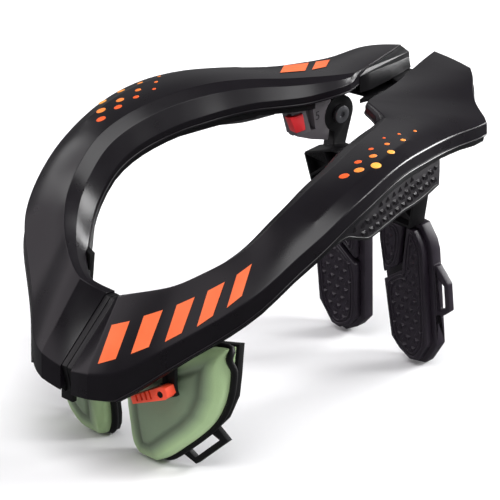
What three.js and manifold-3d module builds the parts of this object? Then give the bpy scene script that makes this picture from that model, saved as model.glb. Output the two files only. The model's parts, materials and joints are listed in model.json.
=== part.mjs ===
// Motocross neck brace: a stiff collar in two halves that open on a rear hinge, two chest pads,
// two shoulder pads and two back wings that tilt on screws under the rear of the collar.
// Millimetres, +Z up, front at -Y, the wearer's left at +X. The origin is the middle of the
// footprint, on the floor that the chest pads and the wing tips stand on.
import * as THREE from 'three';
import { mergeVertices } from 'three/addons/utils/BufferGeometryUtils.js';
import Module from 'manifold-3d';

const wasm = await Module();
wasm.setup();

// Driving sizes of the whole brace
const halfWidth = 119;
const halfLength = 172;
const height = 192;

// Clearance between touching pieces, and the half width of the seam between the shells
const fitGap = 0.35;
const seamHalf = 5;

// Collar section
const innerSlopeWidth = 17;
const innerSlopeDrop = 14;
const innerBand = 5;
const outerWall = 18.5;
const crown = 3;
const chassisThickness = 4.6;
const chassisInset = 1.4;
const seamPlateInset = 1.2;
const ringStep = 0.5;

// Rear hinge: the pivot lies on the right half
const pivotX = -0.336 * halfWidth;
const pivotY = 0.907 * halfLength;
const pinRadius = 3;
const tongueThickness = 4;
const tongueEndRadius = 8;
const forkPlate = 3;

// Soft pads
const chestFoam = 13;
const chestBacking = 4.5;
const shoulderPadDrop = 25;
const chassisTuck = 13;

// Back wings and their adjusters
const wingTilt = 5;
const wingFrameThickness = 8;
const wingPadThickness = 5;
const wingGroove = 4;
const wingMargin = 3.5;
const armThickness = 13;
const bracketInnerX = 0.303 * halfWidth;
const bracketThickness = 9.5;
const earThickness = 4;
const screwY = 0.605 * halfLength;
const screwZ = 0.8125 * height;
const screwRadius = 3;
const screwHeadRadius = 6;
const hubRadius = 12.5;
const ribWidth = 1.6;
const ribDepth = 6;

// Front latch
const leverLength = 25;
const leverWidth = 8.5;
const leverThickness = 7;
const latchPinRadius = 2;

// Collar centre-line table, a row for each section from the front seam to the rear. The crease is
// the top inner edge and the ridge the top outer edge, as shares of half width, half length and
// height. The other columns are shares of the section sizes above.
const armRows = [
  { crease: [0.042, -0.744, 0.568], ridge: [0.042, -0.971, 0.365],
    slope: 0.45, drop: 0.05, wall: 0.92, dome: 0 },
  { crease: [0.151, -0.802, 0.615], ridge: [0.185, -0.977, 0.385],
    slope: 0.55, drop: 0.25, wall: 0.97, dome: 0.2 },
  { crease: [0.303, -0.762, 0.651], ridge: [0.336, -0.93, 0.401],
    slope: 0.75, drop: 0.6, wall: 1, dome: 0.3 },
  { crease: [0.437, -0.703, 0.682], ridge: [0.487, -0.837, 0.474],
    slope: 0.95, drop: 0.9, wall: 0.86, dome: 0.4 },
  { crease: [0.546, -0.64, 0.729], ridge: [0.655, -0.756, 0.563],
    slope: 1, drop: 1, wall: 0.8, dome: 0.5 },
  { crease: [0.63, -0.57, 0.771], ridge: [0.824, -0.674, 0.651],
    slope: 1, drop: 1, wall: 0.74, dome: 0.6 },
  { crease: [0.689, -0.488, 0.818], ridge: [0.924, -0.564, 0.729],
    slope: 1, drop: 1, wall: 0.7, dome: 0.7 },
  { crease: [0.723, -0.384, 0.885], ridge: [0.975, -0.436, 0.813],
    slope: 1, drop: 1, wall: 0.65, dome: 0.8 },
  { crease: [0.723, -0.279, 0.927], ridge: [1, -0.302, 0.875],
    slope: 1, drop: 1, wall: 0.6, dome: 1 },
  { crease: [0.697, -0.174, 0.958], ridge: [0.992, -0.174, 0.927],
    slope: 1, drop: 1, wall: 0.57, dome: 1 },
  { crease: [0.664, -0.058, 0.979], ridge: [0.966, -0.047, 0.958],
    slope: 1, drop: 1, wall: 0.54, dome: 1 },
  { crease: [0.622, 0.035, 0.99], ridge: [0.916, 0.07, 0.974],
    slope: 1, drop: 1, wall: 0.52, dome: 1 },
  { crease: [0.563, 0.14, 0.997], ridge: [0.849, 0.203, 0.974],
    slope: 1, drop: 0.9, wall: 0.5, dome: 1 },
  { crease: [0.487, 0.262, 0.992], ridge: [0.773, 0.337, 0.958],
    slope: 0.9, drop: 0.75, wall: 0.5, dome: 1 },
];

// The left half's rear table, with a horn beside the neck hole and a raised tail. The chassis
// strip under it stops short of the inner edge by tuck, a share of chassisTuck.
const leftTail = [
  { crease: [0.378, 0.401, 0.982], ridge: [0.689, 0.494, 0.938],
    slope: 0.4, drop: 0.35, wall: 0.48, dome: 0.8, tuck: 0.6 },
  { crease: [0.31, 0.418, 0.986], ridge: [0.647, 0.628, 0.927],
    slope: 0.18, drop: 0.22, wall: 0.48, dome: 0.5, tuck: 1 },
  { crease: [0.235, 0.434, 0.988], ridge: [0.613, 0.773, 0.917],
    slope: 0.15, drop: 0.2, wall: 0.48, dome: 0.4, tuck: 1 },
  { crease: [0.172, 0.45, 0.988], ridge: [0.504, 0.814, 0.927],
    slope: 0.15, drop: 0.2, wall: 0.48, dome: 0.3, tuck: 1 },
  { crease: [0.138, 0.483, 0.986], ridge: [0.403, 0.849, 0.938],
    slope: 0.15, drop: 0.2, wall: 0.48, dome: 0.2, tuck: 1 },
  { crease: [0.1, 0.558, 0.979], ridge: [0.277, 0.924, 0.958],
    slope: 0.15, drop: 0.2, wall: 0.48, dome: 0.2, tuck: 1 },
  { crease: [0.042, 0.657, 0.969], ridge: [0.151, 0.994, 0.971],
    slope: 0.15, drop: 0.2, wall: 0.48, dome: 0.2, tuck: 0.7 },
  { crease: [-0.017, 0.75, 0.964], ridge: [-0.143, 1, 0.974],
    slope: 0.15, drop: 0.2, wall: 0.48, dome: 0.2, tuck: 0.4 },
];

// The right half's rear end, which stops at a slanting seam short of the middle
const rightTail = [
  { crease: [0.387, 0.372, 0.984], ridge: [0.689, 0.494, 0.938],
    slope: 0.8, drop: 0.65, wall: 0.48, dome: 0.9 },
  { crease: [0.319, 0.442, 0.984], ridge: [0.655, 0.616, 0.927],
    slope: 0.75, drop: 0.6, wall: 0.46, dome: 0.8 },
  { crease: [0.269, 0.506, 0.982], ridge: [0.605, 0.762, 0.922],
    slope: 0.7, drop: 0.5, wall: 0.44, dome: 0.6 },
  { crease: [0.235, 0.57, 0.978], ridge: [0.538, 0.855, 0.948],
    slope: 0.65, drop: 0.38, wall: 0.38, dome: 0.5 },
  { crease: [0.218, 0.634, 0.973], ridge: [0.454, 0.924, 0.958],
    slope: 0.6, drop: 0.28, wall: 0.38, dome: 0.3 },
  { crease: [0.235, 0.692, 0.969], ridge: [0.378, 0.977, 0.958],
    slope: 0.5, drop: 0.2, wall: 0.38, dome: 0.1 },
];

// Chest pad outline, a row for each height: inner and outer edge as shares of half width
const chestRows = [
  { z: 0, inner: 0.17, outer: 0.26, full: 0.4 },
  { z: 0.012, inner: 0.14, outer: 0.32, full: 0.75 },
  { z: 0.042, inner: 0.115, outer: 0.385, full: 0.95 },
  { z: 0.083, inner: 0.1, outer: 0.46, full: 1 },
  { z: 0.146, inner: 0.095, outer: 0.57, full: 1 },
  { z: 0.208, inner: 0.095, outer: 0.65, full: 1 },
  { z: 0.292, inner: 0.1, outer: 0.697, full: 1 },
  { z: 0.365, inner: 0.125, outer: 0.7, full: 1 },
  { z: 0.4, inner: 0.36, outer: 0.7, full: 1 },
  { z: 0.443, inner: 0.5, outer: 0.7, full: 0.95 },
  { z: 0.479, inner: 0.6, outer: 0.7, full: 0.6 },
];

// Shoulder pad: section number along the collar, depth as a share of shoulderPadDrop, and the
// place of its inner edge as a share of the collar's width
const shoulderRows = [
  { at: 8.2, depth: 0.1, inner: 0.1 },
  { at: 9, depth: 0.3, inner: 0.1 },
  { at: 9.5, depth: 0.62, inner: 0.1 },
  { at: 10, depth: 0.9, inner: 0.1 },
  { at: 11, depth: 1, inner: 0.1 },
  { at: 12, depth: 1, inner: 0.1 },
  { at: 13, depth: 1, inner: 0.12 },
  { at: 13.5, depth: 0.95, inner: 0.3 },
  { at: 14.1, depth: 0.82, inner: 0.5 },
];

// Back wing outline seen from the front: shares of half width and height, tip upwards
const wingOutline = [
  [0.118, 0.073], [0.185, 0.03], [0.277, 0], [0.361, 0.008], [0.462, 0.094],
  [0.471, 0.458], [0.456, 0.495], [0.4, 0.55], [0.078, 0.55], [0.067, 0.448],
];
const wingGrooveLine = [[0.34, 0.62], [0.25, 0.365], [0.02, 0.265]];
const wingLoop = { bottom: 0.215, top: 0.38, reach: 11.5, bar: 4 };

// Panel of the wing's arm: shares of half width, and rise above the wing as shares of height.
// Two ribs cross it between the given points.
const armPanel = [
  [0.085, 0], [0.39, 0], [0.44, 0.115], [0.43, 0.125], [0.21, 0.178],
  [0.165, 0.18], [0.125, 0.147], [0.085, 0.06],
];
const armRibs = [[[0.311, 0.2], [0.165, -0.02]], [[0.46, 0.01], [0.09, 0.187]]];
const armForward = 4;

const steel = [0x2b2b2e, 0.35, 0.8];
const finishes = {
  shell: [0x242127, 0.38, 0],
  chassis: [0x111113, 0.55, 0],
  foam: [0x7f9470, 0.85, 0],
  binding: [0x121212, 0.9, 0],
  rubber: [0x2a262b, 0.7, 0],
  bracket: [0x5c575b, 0.6, 0],
  wedge: [0xc4121c, 0.45, 0],
  lever: [0xf04a30, 0.45, 0],
  steel,
};

const scene = new THREE.Group();

function addPiece(name, geometry, finish) {
  const [color, roughness, metalness] = finishes[finish];
  const material = new THREE.MeshStandardMaterial({ color, roughness, metalness });
  const mesh = new THREE.Mesh(geometry, material);
  mesh.name = name;
  scene.add(mesh);
  return mesh;
}

// Solids in manifold form, for joins and cuts
function toSolid(geometry) {
  const bare = geometry.clone();
  bare.deleteAttribute('normal');
  bare.deleteAttribute('uv');
  const merged = mergeVertices(bare, 1e-4);
  return new wasm.Manifold(new wasm.Mesh({
    numProp: 3,
    vertProperties: new Float32Array(merged.attributes.position.array),
    triVerts: new Uint32Array(merged.index.array),
  }));
}

function toGeometry(solid) {
  const mesh = solid.getMesh();
  const geometry = new THREE.BufferGeometry();
  geometry.setAttribute('position', new THREE.BufferAttribute(new Float32Array(mesh.vertProperties), 3));
  geometry.setIndex(new THREE.BufferAttribute(new Uint32Array(mesh.triVerts), 1));
  return geometry;
}

function largestBody(solid) {
  const bodies = solid.decompose();
  return bodies.reduce((best, body) => (body.volume() > best.volume() ? body : best));
}

function mirrored(geometry) {
  const copy = geometry.index ? geometry.toNonIndexed() : geometry.clone();
  copy.applyMatrix4(new THREE.Matrix4().makeScale(-1, 1, 1));
  const position = copy.attributes.position;
  const corner = new THREE.Vector3();
  const other = new THREE.Vector3();
  for (let i = 0; i < position.count; i += 3) {
    corner.fromBufferAttribute(position, i + 1);
    other.fromBufferAttribute(position, i + 2);
    position.setXYZ(i + 1, other.x, other.y, other.z);
    position.setXYZ(i + 2, corner.x, corner.y, corner.z);
  }
  return copy;
}

// A closed body through rings of equal point count, with flat end caps
function loft(rings) {
  const count = rings[0].length;
  const points = rings.flat();
  const index = [];
  for (let r = 0; r + 1 < rings.length; r += 1) {
    for (let i = 0; i < count; i += 1) {
      const a = r * count + i;
      const b = r * count + ((i + 1) % count);
      index.push(a, b, a + count, b, b + count, a + count);
    }
  }
  const capEnd = (ring, offset, flip) => {
    const faces = capTriangles(ring);
    faces.forEach(([a, b, c]) => index.push(...(flip ? [offset + a, offset + c, offset + b]
      : [offset + a, offset + b, offset + c])));
  };
  capEnd(rings[0], 0, true);
  capEnd(rings[rings.length - 1], (rings.length - 1) * count, false);
  const geometry = new THREE.BufferGeometry();
  const coordinates = points.flatMap((point) => point.toArray());
  geometry.setAttribute('position', new THREE.Float32BufferAttribute(coordinates, 3));
  geometry.setIndex(index);
  return outward(geometry);
}

// Triangles of a nearly flat ring, found in the ring's own plane, in the ring's own direction
function capTriangles(ring) {
  const centre = ring.reduce((sum, p) => sum.add(p), new THREE.Vector3()).divideScalar(ring.length);
  const normal = new THREE.Vector3();
  ring.forEach((p, i) => {
    const next = ring[(i + 1) % ring.length];
    normal.add(p.clone().sub(centre).cross(next.clone().sub(centre)));
  });
  normal.normalize();
  const across = ring[0].clone().sub(centre).projectOnPlane(normal).normalize();
  const along = normal.clone().cross(across);
  const flat = ring.map((p) => {
    const arm = p.clone().sub(centre);
    return new THREE.Vector2(arm.dot(across), arm.dot(along));
  });
  return THREE.ShapeUtils.triangulateShape(flat, []);
}

function signedVolume(geometry) {
  const position = geometry.attributes.position;
  const index = geometry.index.array;
  const [a, b, c] = [new THREE.Vector3(), new THREE.Vector3(), new THREE.Vector3()];
  let sum = 0;
  for (let i = 0; i < index.length; i += 3) {
    a.fromBufferAttribute(position, index[i]);
    b.fromBufferAttribute(position, index[i + 1]);
    c.fromBufferAttribute(position, index[i + 2]);
    sum += a.dot(b.cross(c)) / 6;
  }
  return sum;
}

function outward(geometry) {
  if (signedVolume(geometry) < 0) geometry.setIndex(Array.from(geometry.index.array).reverse());
  return geometry;
}

// An outline of [u, v] points, pushed along the third axis. plane 'xz' runs along Y, 'yz' along X.
function plate(outline, plane, from, to, holes = []) {
  const flat = (points) => points.map(([u, v]) => new THREE.Vector2(u, v));
  const shape = new THREE.Shape(flat(outline));
  holes.forEach((hole) => shape.holes.push(new THREE.Path(flat(hole))));
  const depth = Math.abs(to - from);
  const low = Math.min(from, to);
  const geometry = new THREE.ExtrudeGeometry(shape, { depth, bevelEnabled: false });
  if (plane === 'xy') geometry.translate(0, 0, low);
  if (plane === 'xz') {
    geometry.rotateX(Math.PI / 2);
    geometry.translate(0, low + depth, 0);
  }
  if (plane === 'yz') {
    geometry.rotateX(Math.PI / 2);
    geometry.rotateZ(Math.PI / 2);
    geometry.translate(low, 0, 0);
  }
  return geometry;
}

function cylinderX(radius, from, to, y, z, sides = 20) {
  const geometry = new THREE.CylinderGeometry(radius, radius, Math.abs(to - from), sides);
  geometry.rotateZ(Math.PI / 2);
  return geometry.translate((from + to) / 2, y, z);
}

function cylinderZ(radius, from, to, x, y, sides = 24) {
  const geometry = new THREE.CylinderGeometry(radius, radius, Math.abs(to - from), sides);
  geometry.rotateX(Math.PI / 2);
  return geometry.translate(x, y, (from + to) / 2);
}

function box(x0, x1, y0, y1, z0, z1) {
  const geometry = new THREE.BoxGeometry(x1 - x0, y1 - y0, z1 - z0);
  return geometry.translate((x0 + x1) / 2, (y0 + y1) / 2, (z0 + z1) / 2);
}

const mix = THREE.MathUtils.lerp;
const place = ([x, y, z]) => new THREE.Vector3(x * halfWidth, y * halfLength, z * height);

// The collar's section at a place along its rows: the crease and ridge lie on smooth curves
function collarSection(rows, at) {
  const share = at / (rows.length - 1);
  const onCurve = (edge) => {
    const points = rows.map((row) => place(row[edge]));
    return new THREE.CatmullRomCurve3(points, false, 'centripetal').getPoint(share);
  };
  const crease = onCurve('crease');
  const ridge = onCurve('ridge');
  if (at === 0) {
    crease.x = seamHalf;
    ridge.x = seamHalf;
  }
  const low = Math.min(Math.floor(at), rows.length - 2);
  const value = (key) => mix(rows[low][key] ?? 0, rows[low + 1][key] ?? 0, at - low);
  const inward = crease.clone().sub(ridge).setZ(0).normalize();
  const slope = value('slope') * innerSlopeWidth;
  const drop = value('drop') * innerSlopeDrop;
  const down = (point, distance) => point.clone().setZ(point.z - distance);
  const top = (part, rise) => crease.clone().lerp(ridge, part).add(new THREE.Vector3(0, 0, rise));
  const innerEdge = down(crease.clone().addScaledVector(inward, slope), drop);
  const shoulder = down(crease.clone().addScaledVector(inward, slope * 0.5), drop * 0.3);
  const innerFoot = down(innerEdge, innerBand);
  const outerFoot = down(ridge, value('wall') * outerWall);
  const dome = value('dome') * crown;
  const across = innerFoot.clone().sub(outerFoot).normalize();
  const sideways = new THREE.Vector3(0, 0, 1).cross(inward);
  const below = across.clone().cross(sideways).normalize();
  if (below.z > 0) below.negate();
  const tuck = value('tuck') * chassisTuck;
  return {
    crease, ridge, innerEdge, shoulder, innerFoot, outerFoot, across, below, inward, dome, tuck, top,
  };
}

function shellRing(section) {
  const { crease, ridge, innerEdge, shoulder, innerFoot, outerFoot, dome, top } = section;
  return [crease, top(0.36, dome * 0.8), top(0.7, dome), ridge, outerFoot, innerFoot, innerEdge, shoulder];
}

// The four corners of a strip under the shell, between two depths below the shell's underside
function stripRing(section, inset, nearDepth, farDepth) {
  const { outerFoot, innerFoot, across, below, tuck } = section;
  const outer = outerFoot.clone().addScaledVector(across, inset);
  const inner = innerFoot.clone().addScaledVector(across, -inset - tuck);
  return [
    outer.clone().addScaledVector(below, nearDepth),
    outer.clone().addScaledVector(below, farDepth),
    inner.clone().addScaledVector(below, farDepth),
    inner.clone().addScaledVector(below, nearDepth),
  ];
}

const chassisBottom = fitGap + chassisThickness;

// The shell grown by the fit gap, point for point: what is cut by it seats against the shell
function grownRing(section) {
  const { crease, ridge, innerEdge, shoulder, innerFoot, outerFoot, inward, dome, top, below } = section;
  const out = (point, distance) => point.clone().addScaledVector(inward, distance);
  const rise = new THREE.Vector3(0, 0, fitGap);
  return [
    crease.clone().add(rise),
    top(0.36, dome * 0.8 + fitGap),
    top(0.7, dome + fitGap),
    out(ridge, -fitGap).add(rise),
    out(outerFoot, -fitGap).addScaledVector(below, fitGap),
    out(innerFoot, fitGap).addScaledVector(below, fitGap),
    out(innerEdge, fitGap),
    out(shoulder, fitGap).add(rise),
  ];
}

function alongRows(rows, from, to, ringOf) {
  const rings = [];
  const steps = Math.ceil((to - from) / ringStep);
  for (let i = 0; i <= steps; i += 1) {
    const at = Math.min(from + i * ringStep, to);
    rings.push(ringOf(collarSection(rows, at)));
  }
  return rings;
}

const leftRows = [...armRows, ...leftTail];
const rightRows = [...armRows, ...rightTail];
const lastOf = (rows) => rows.length - 1;
const rightRowsWithoutChassis = 3.5;
const rightChassisEnd = lastOf(rightRows) - rightRowsWithoutChassis;
const grownShell = (rows) => toSolid(loft(alongRows(rows, 0, lastOf(rows), grownRing)));
const grownLeft = grownShell(leftRows);
const grownRight = grownShell(rightRows);

// A chassis strip begins inside the shell and is cut back to its underside
function chassisSolid(rows, to, grown) {
  const ringOf = (section) => stripRing(section, chassisInset, -1, chassisBottom);
  return largestBody(toSolid(loft(alongRows(rows, 0, to, ringOf))).subtract(grown));
}

const leftChassis = chassisSolid(leftRows, lastOf(leftRows), grownLeft);
const rightChassis = chassisSolid(rightRows, rightChassisEnd, grownRight);

// Everything of the collar that a piece below it must stay clear of, on either half
const collarKeepOut = [grownLeft, grownRight, leftChassis, rightChassis]
  .flatMap((solid) => [solid, solid.translate([0, 0, -fitGap])])
  .reduce((all, solid) => all.add(solid));

function seatUnderCollar(solid) {
  return largestBody(solid.subtract(collarKeepOut));
}

// A body built on the left is kept, or turned over for the right half
function addSide(side, name, geometry, finish) {
  return addPiece(`${side}_${name}`, side === 'right' ? mirrored(geometry) : geometry, finish);
}

function buildShells() {
  addPiece('left_shell', loft(alongRows(leftRows, 0, lastOf(leftRows), shellRing)), 'shell');
  const right = loft(alongRows(rightRows, 0, lastOf(rightRows), shellRing));
  addPiece('right_shell', mirrored(right), 'shell');
}

function buildChassis() {
  addPiece('left_chassis', toGeometry(leftChassis), 'chassis');
  addPiece('right_chassis', mirrored(toGeometry(rightChassis)), 'chassis');
}

// End plates between the two shells at the front. The right one carries a small tab below.
function seamPlateGeometry() {
  const section = collarSection(armRows, 0);
  const [outer, inner] = stripRing(section, seamPlateInset, 0, chassisBottom).slice(1, 3);
  const corners = [section.crease, section.ridge, outer, inner, section.innerEdge];
  const middle = new THREE.Vector3();
  corners.forEach((corner) => middle.addScaledVector(corner, 1 / corners.length));
  const outline = corners.map((corner) => {
    const pulled = corner.clone().addScaledVector(middle.clone().sub(corner).normalize(), seamPlateInset);
    return [pulled.y, pulled.z];
  });
  return plate(outline, 'yz', fitGap / 2, seamHalf - fitGap);
}

function buildSeamPlates() {
  addPiece('left_front_plate', seamPlateGeometry(), 'chassis');
  const foot = collarSection(armRows, 0).outerFoot;
  const tabWidth = 11;
  const tabDepth = 9;
  const tabThickness = 3.5;
  const tabBack = 6;
  const tab = box(fitGap / 2, tabWidth, foot.y + tabBack, foot.y + tabBack + tabThickness,
    foot.z - tabDepth, foot.z + seamHalf);
  const hung = toSolid(tab).subtract(collarKeepOut);
  const joined = toSolid(seamPlateGeometry()).add(hung);
  addPiece('right_front_plate', mirrored(toGeometry(largestBody(joined))), 'chassis');
}

function buildShoulderPad(side) {
  const rows = side === 'left' ? leftRows : rightRows;
  const rings = shoulderRows.map(({ at, depth, inner }) => {
    const section = collarSection(rows, at);
    const [outerSide, , , innerSide] = stripRing(section, chassisInset, chassisThickness - 1, 0);
    const topInner = innerSide.clone().lerp(outerSide, inner);
    const topOuter = innerSide.clone().lerp(outerSide, 0.96);
    const fall = (point, share) => point.clone().setZ(point.z - depth * share * shoulderPadDrop);
    const lowOuter = fall(topInner.clone().lerp(topOuter, 0.98), 1);
    const lowInner = fall(topInner.clone().lerp(topOuter, 0.6), 0.75);
    return [
      topOuter, fall(topOuter, 0.55), lowOuter, lowInner, fall(topInner, 0.2), topInner,
    ];
  });
  addSide(side, 'shoulder_pad', toGeometry(seatUnderCollar(toSolid(loft(rings)))), 'rubber');
}

// The chest pad's front face bows backwards towards the shoulder. It leans forwards going up to
// the knee, and back again above it.
const chestFrontY = -0.72 * halfLength;
const chestLean = 0.16;
const chestKnee = 0.26 * height;
const chestBow = 25;
const chestFlatTo = 0.25 * halfWidth;
function chestFace(x, z) {
  const past = Math.max(0, x - chestFlatTo) / (0.49 * halfWidth);
  const forward = chestLean * Math.min(z, chestKnee) - 0.6 * chestLean * Math.max(0, z - chestKnee);
  return chestFrontY - forward + chestBow * past * past;
}

const chestColumns = 8;
const edgeCrown = 0.68;
function chestSheet(inset, front, back, crowned) {
  const rings = chestRows.map(({ z, inner, outer, full }, row) => {
    const low = row === 0 ? inset : 0;
    const high = row === chestRows.length - 1 ? inset : 0;
    const zHere = z * height + low - high;
    const x0 = inner * halfWidth;
    const x1 = outer * halfWidth;
    const column = (share) => THREE.MathUtils.clamp(mix(x0, x1, share), x0 + inset, x1 - inset);
    const frontLine = [];
    const backLine = [];
    for (let i = 0; i <= chestColumns; i += 1) {
      const share = i / chestColumns;
      const x = column(share);
      const round = crowned ? full * Math.min(1, edgeCrown + 3 * share * (1 - share)) : 1;
      frontLine.push(new THREE.Vector3(x, chestFace(x, zHere) + back - (back - front) * round, zHere));
      backLine.push(new THREE.Vector3(x, chestFace(x, zHere) + back, zHere));
    }
    // Facing sheets run their shared side the same way, so that their triangles match
    return crowned ? [...frontLine, ...backLine.reverse()] : [...backLine, ...frontLine.reverse()];
  });
  return loft(rings);
}

// Strap loop on the lower outer edge of the backing, and the strut that holds the pad up
const loopStart = [0.38, 0.03];
const loopEnd = [0.62, 0.175];
const loopReach = 9.5;
const loopBar = 3.3;
function buildChestPad(side) {
  addSide(side, 'chest_pad', chestSheet(1.2, 0, chestFoam, true), 'foam');
  const backFrom = chestFoam + fitGap;
  const backTo = backFrom + chestBacking;
  const backing = toSolid(chestSheet(0, backFrom, backTo, false));
  const start = new THREE.Vector2(loopStart[0] * halfWidth, loopStart[1] * height);
  const end = new THREE.Vector2(loopEnd[0] * halfWidth, loopEnd[1] * height);
  const along = end.clone().sub(start).normalize();
  const away = new THREE.Vector2(along.y, -along.x);
  const at = (base, run, reach) => {
    const point = base.clone().addScaledVector(along, run).addScaledVector(away, reach);
    return [point.x, point.y];
  };
  const rootDepth = -9;
  const outline = [
    at(start, 0, rootDepth), at(start, 5, loopReach),
    at(end, -5, loopReach), at(end, 0, rootDepth),
  ];
  const slot = [
    at(start, loopBar + 5, fitGap), at(start, loopBar + 5, loopReach - loopBar),
    at(end, -loopBar - 5, loopReach - loopBar), at(end, -loopBar - 5, fitGap),
  ];
  const loop = plate(outline, 'xz', backFrom + 0.5, backTo - 0.3, [slot]);
  const corner = new THREE.Vector3();
  for (let i = 0; i < loop.attributes.position.count; i += 1) {
    corner.fromBufferAttribute(loop.attributes.position, i);
    loop.attributes.position.setY(i, corner.y + chestFace(corner.x, corner.z));
  }
  const strutInner = 0.33 * halfWidth;
  const strutOuter = 0.6 * halfWidth;
  const strutLow = 0.4 * height;
  const strutHigh = 0.62 * height;
  const strut = loft([strutLow, strutHigh].map((z) => [
    [strutInner, 0], [strutOuter, 0], [strutOuter, 1], [strutInner, 1],
  ].map(([x, rear]) => new THREE.Vector3(x, chestFace(x, z) + mix(backFrom + 0.5, backTo, rear), z))));
  const whole = seatUnderCollar(backing.add(toSolid(loop)).add(toSolid(strut)));
  addSide(side, 'chest_backing', toGeometry(whole), 'binding');
}

// Adjuster: a grey block with a red wedge and a slot, and an ear that carries the wing's screw
const bracketShape = [[0.32, 1], [0.39, 0.781], [0.465, 0.752], [0.547, 0.729], [0.6, 1]];
const wedgePocket = { y0: 0.345, y1: 0.41, z0: 0.8, z1: 0.862 };
const slotPocket = { y0: 0.43, y1: 0.468, z0: 0.785, z1: 0.865 };
const pocketDepth = 5;
const slanted = 0.03;
function pocketOutline({ y0, y1, z0, z1 }, grow) {
  return [
    [(y0 + slanted) * halfLength - grow, z0 * height - grow],
    [(y1 + slanted * 0.5) * halfLength + grow, z0 * height - grow],
    [y1 * halfLength + grow, z1 * height + grow],
    [y0 * halfLength - grow, z1 * height + grow],
  ];
}

function buildBracket(side) {
  const x0 = bracketInnerX;
  const x1 = x0 + bracketThickness;
  const outline = bracketShape.map(([y, z]) => [y * halfLength, z * height]);
  const hubCut = toSolid(cylinderX(hubRadius + fitGap, x0 - 1, x1 + fitGap, screwY, screwZ, 32));
  const behindHub = screwY - hubRadius * 0.6;
  const clearance = box(x0 - 1, x1 + fitGap, behindHub, halfLength, height / 2, height * 1.1);
  const ear = [
    [0.4 * halfLength, height], [0.42 * halfLength, 0.76 * height], [screwY - 6, screwZ - 9],
    [screwY + 6, screwZ - 9], [screwY + 9, height],
  ];
  let block = toSolid(plate(outline, 'yz', x0, x1 + 1)).subtract(hubCut).subtract(toSolid(clearance));
  block = block.add(toSolid(plate(ear, 'yz', x1 + fitGap, x1 + fitGap + earThickness)));
  const pocket = (shape, grow) => toSolid(plate(pocketOutline(shape, grow), 'yz', x0 - 1, x0 + pocketDepth));
  block = block.subtract(pocket(wedgePocket, fitGap)).subtract(pocket(slotPocket, 0));
  block = block.subtract(toSolid(cylinderX(screwRadius + fitGap, x0 - 1, x1 + 10, screwY, screwZ)));
  block = seatUnderCollar(block);
  addSide(side, 'bracket', toGeometry(block), 'bracket');
  const wedge = plate(pocketOutline(wedgePocket, 0), 'yz', x0 - 1.5, x0 + pocketDepth - fitGap);
  addSide(side, 'wedge', wedge, 'wedge');
  const shankEnd = x1 + fitGap + earThickness + 1;
  const shank = toSolid(cylinderX(screwRadius, x0 - fitGap - 1, shankEnd, screwY, screwZ));
  const head = toSolid(cylinderX(screwHeadRadius, x0 - fitGap - 3, x0 - fitGap, screwY, screwZ));
  const socket = toSolid(cylinderX(2.2, x0 - fitGap - 4, x0 - fitGap - 1.2, screwY, screwZ, 6));
  addSide(side, 'screw', toGeometry(shank.add(head).subtract(socket)), 'steel');
}

// Back wing, built upright in its own plane and leaned by wingTilt about the screw's axis
const wingFaceY = 0.52 * halfLength;
const wingFrameFront = wingFaceY + wingPadThickness + fitGap;
const lean = THREE.MathUtils.degToRad(wingTilt);
// Height at which the upright wing starts, so that its leaned tip meets the floor
const wingBase = screwZ - (screwZ + (wingFrameFront - screwY) * Math.sin(lean)) / Math.cos(lean);
const wingPoint = ([x, z]) => [x * halfWidth, wingBase + z * height];
function leaned(geometry) {
  geometry.translate(0, -screwY, -screwZ);
  geometry.rotateX(lean);
  return geometry.translate(0, screwY, screwZ);
}

function insetOutline(points, distance) {
  const count = points.length;
  return points.map(([x, y], i) => {
    const [px, py] = points[(i + count - 1) % count];
    const [nx, ny] = points[(i + 1) % count];
    const first = new THREE.Vector2(x - px, y - py).normalize();
    const second = new THREE.Vector2(nx - x, ny - y).normalize();
    const bisector = new THREE.Vector2(-first.y - second.y, first.x + second.x).normalize();
    const reach = distance / Math.max(0.4, bisector.dot(new THREE.Vector2(-first.y, first.x)));
    return [x + bisector.x * reach, y + bisector.y * reach];
  });
}

// Corners of a straight band of the given width, which runs past both its ends by half of it
function bandBetween([x0, y0], [x1, y1], width) {
  const along = new THREE.Vector2(x1 - x0, y1 - y0).normalize().multiplyScalar(width / 2);
  return [
    [x0 - along.x + along.y, y0 - along.y - along.x], [x1 + along.x + along.y, y1 + along.y - along.x],
    [x1 + along.x - along.y, y1 + along.y + along.x], [x0 - along.x - along.y, y0 - along.y + along.x],
  ];
}

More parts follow.
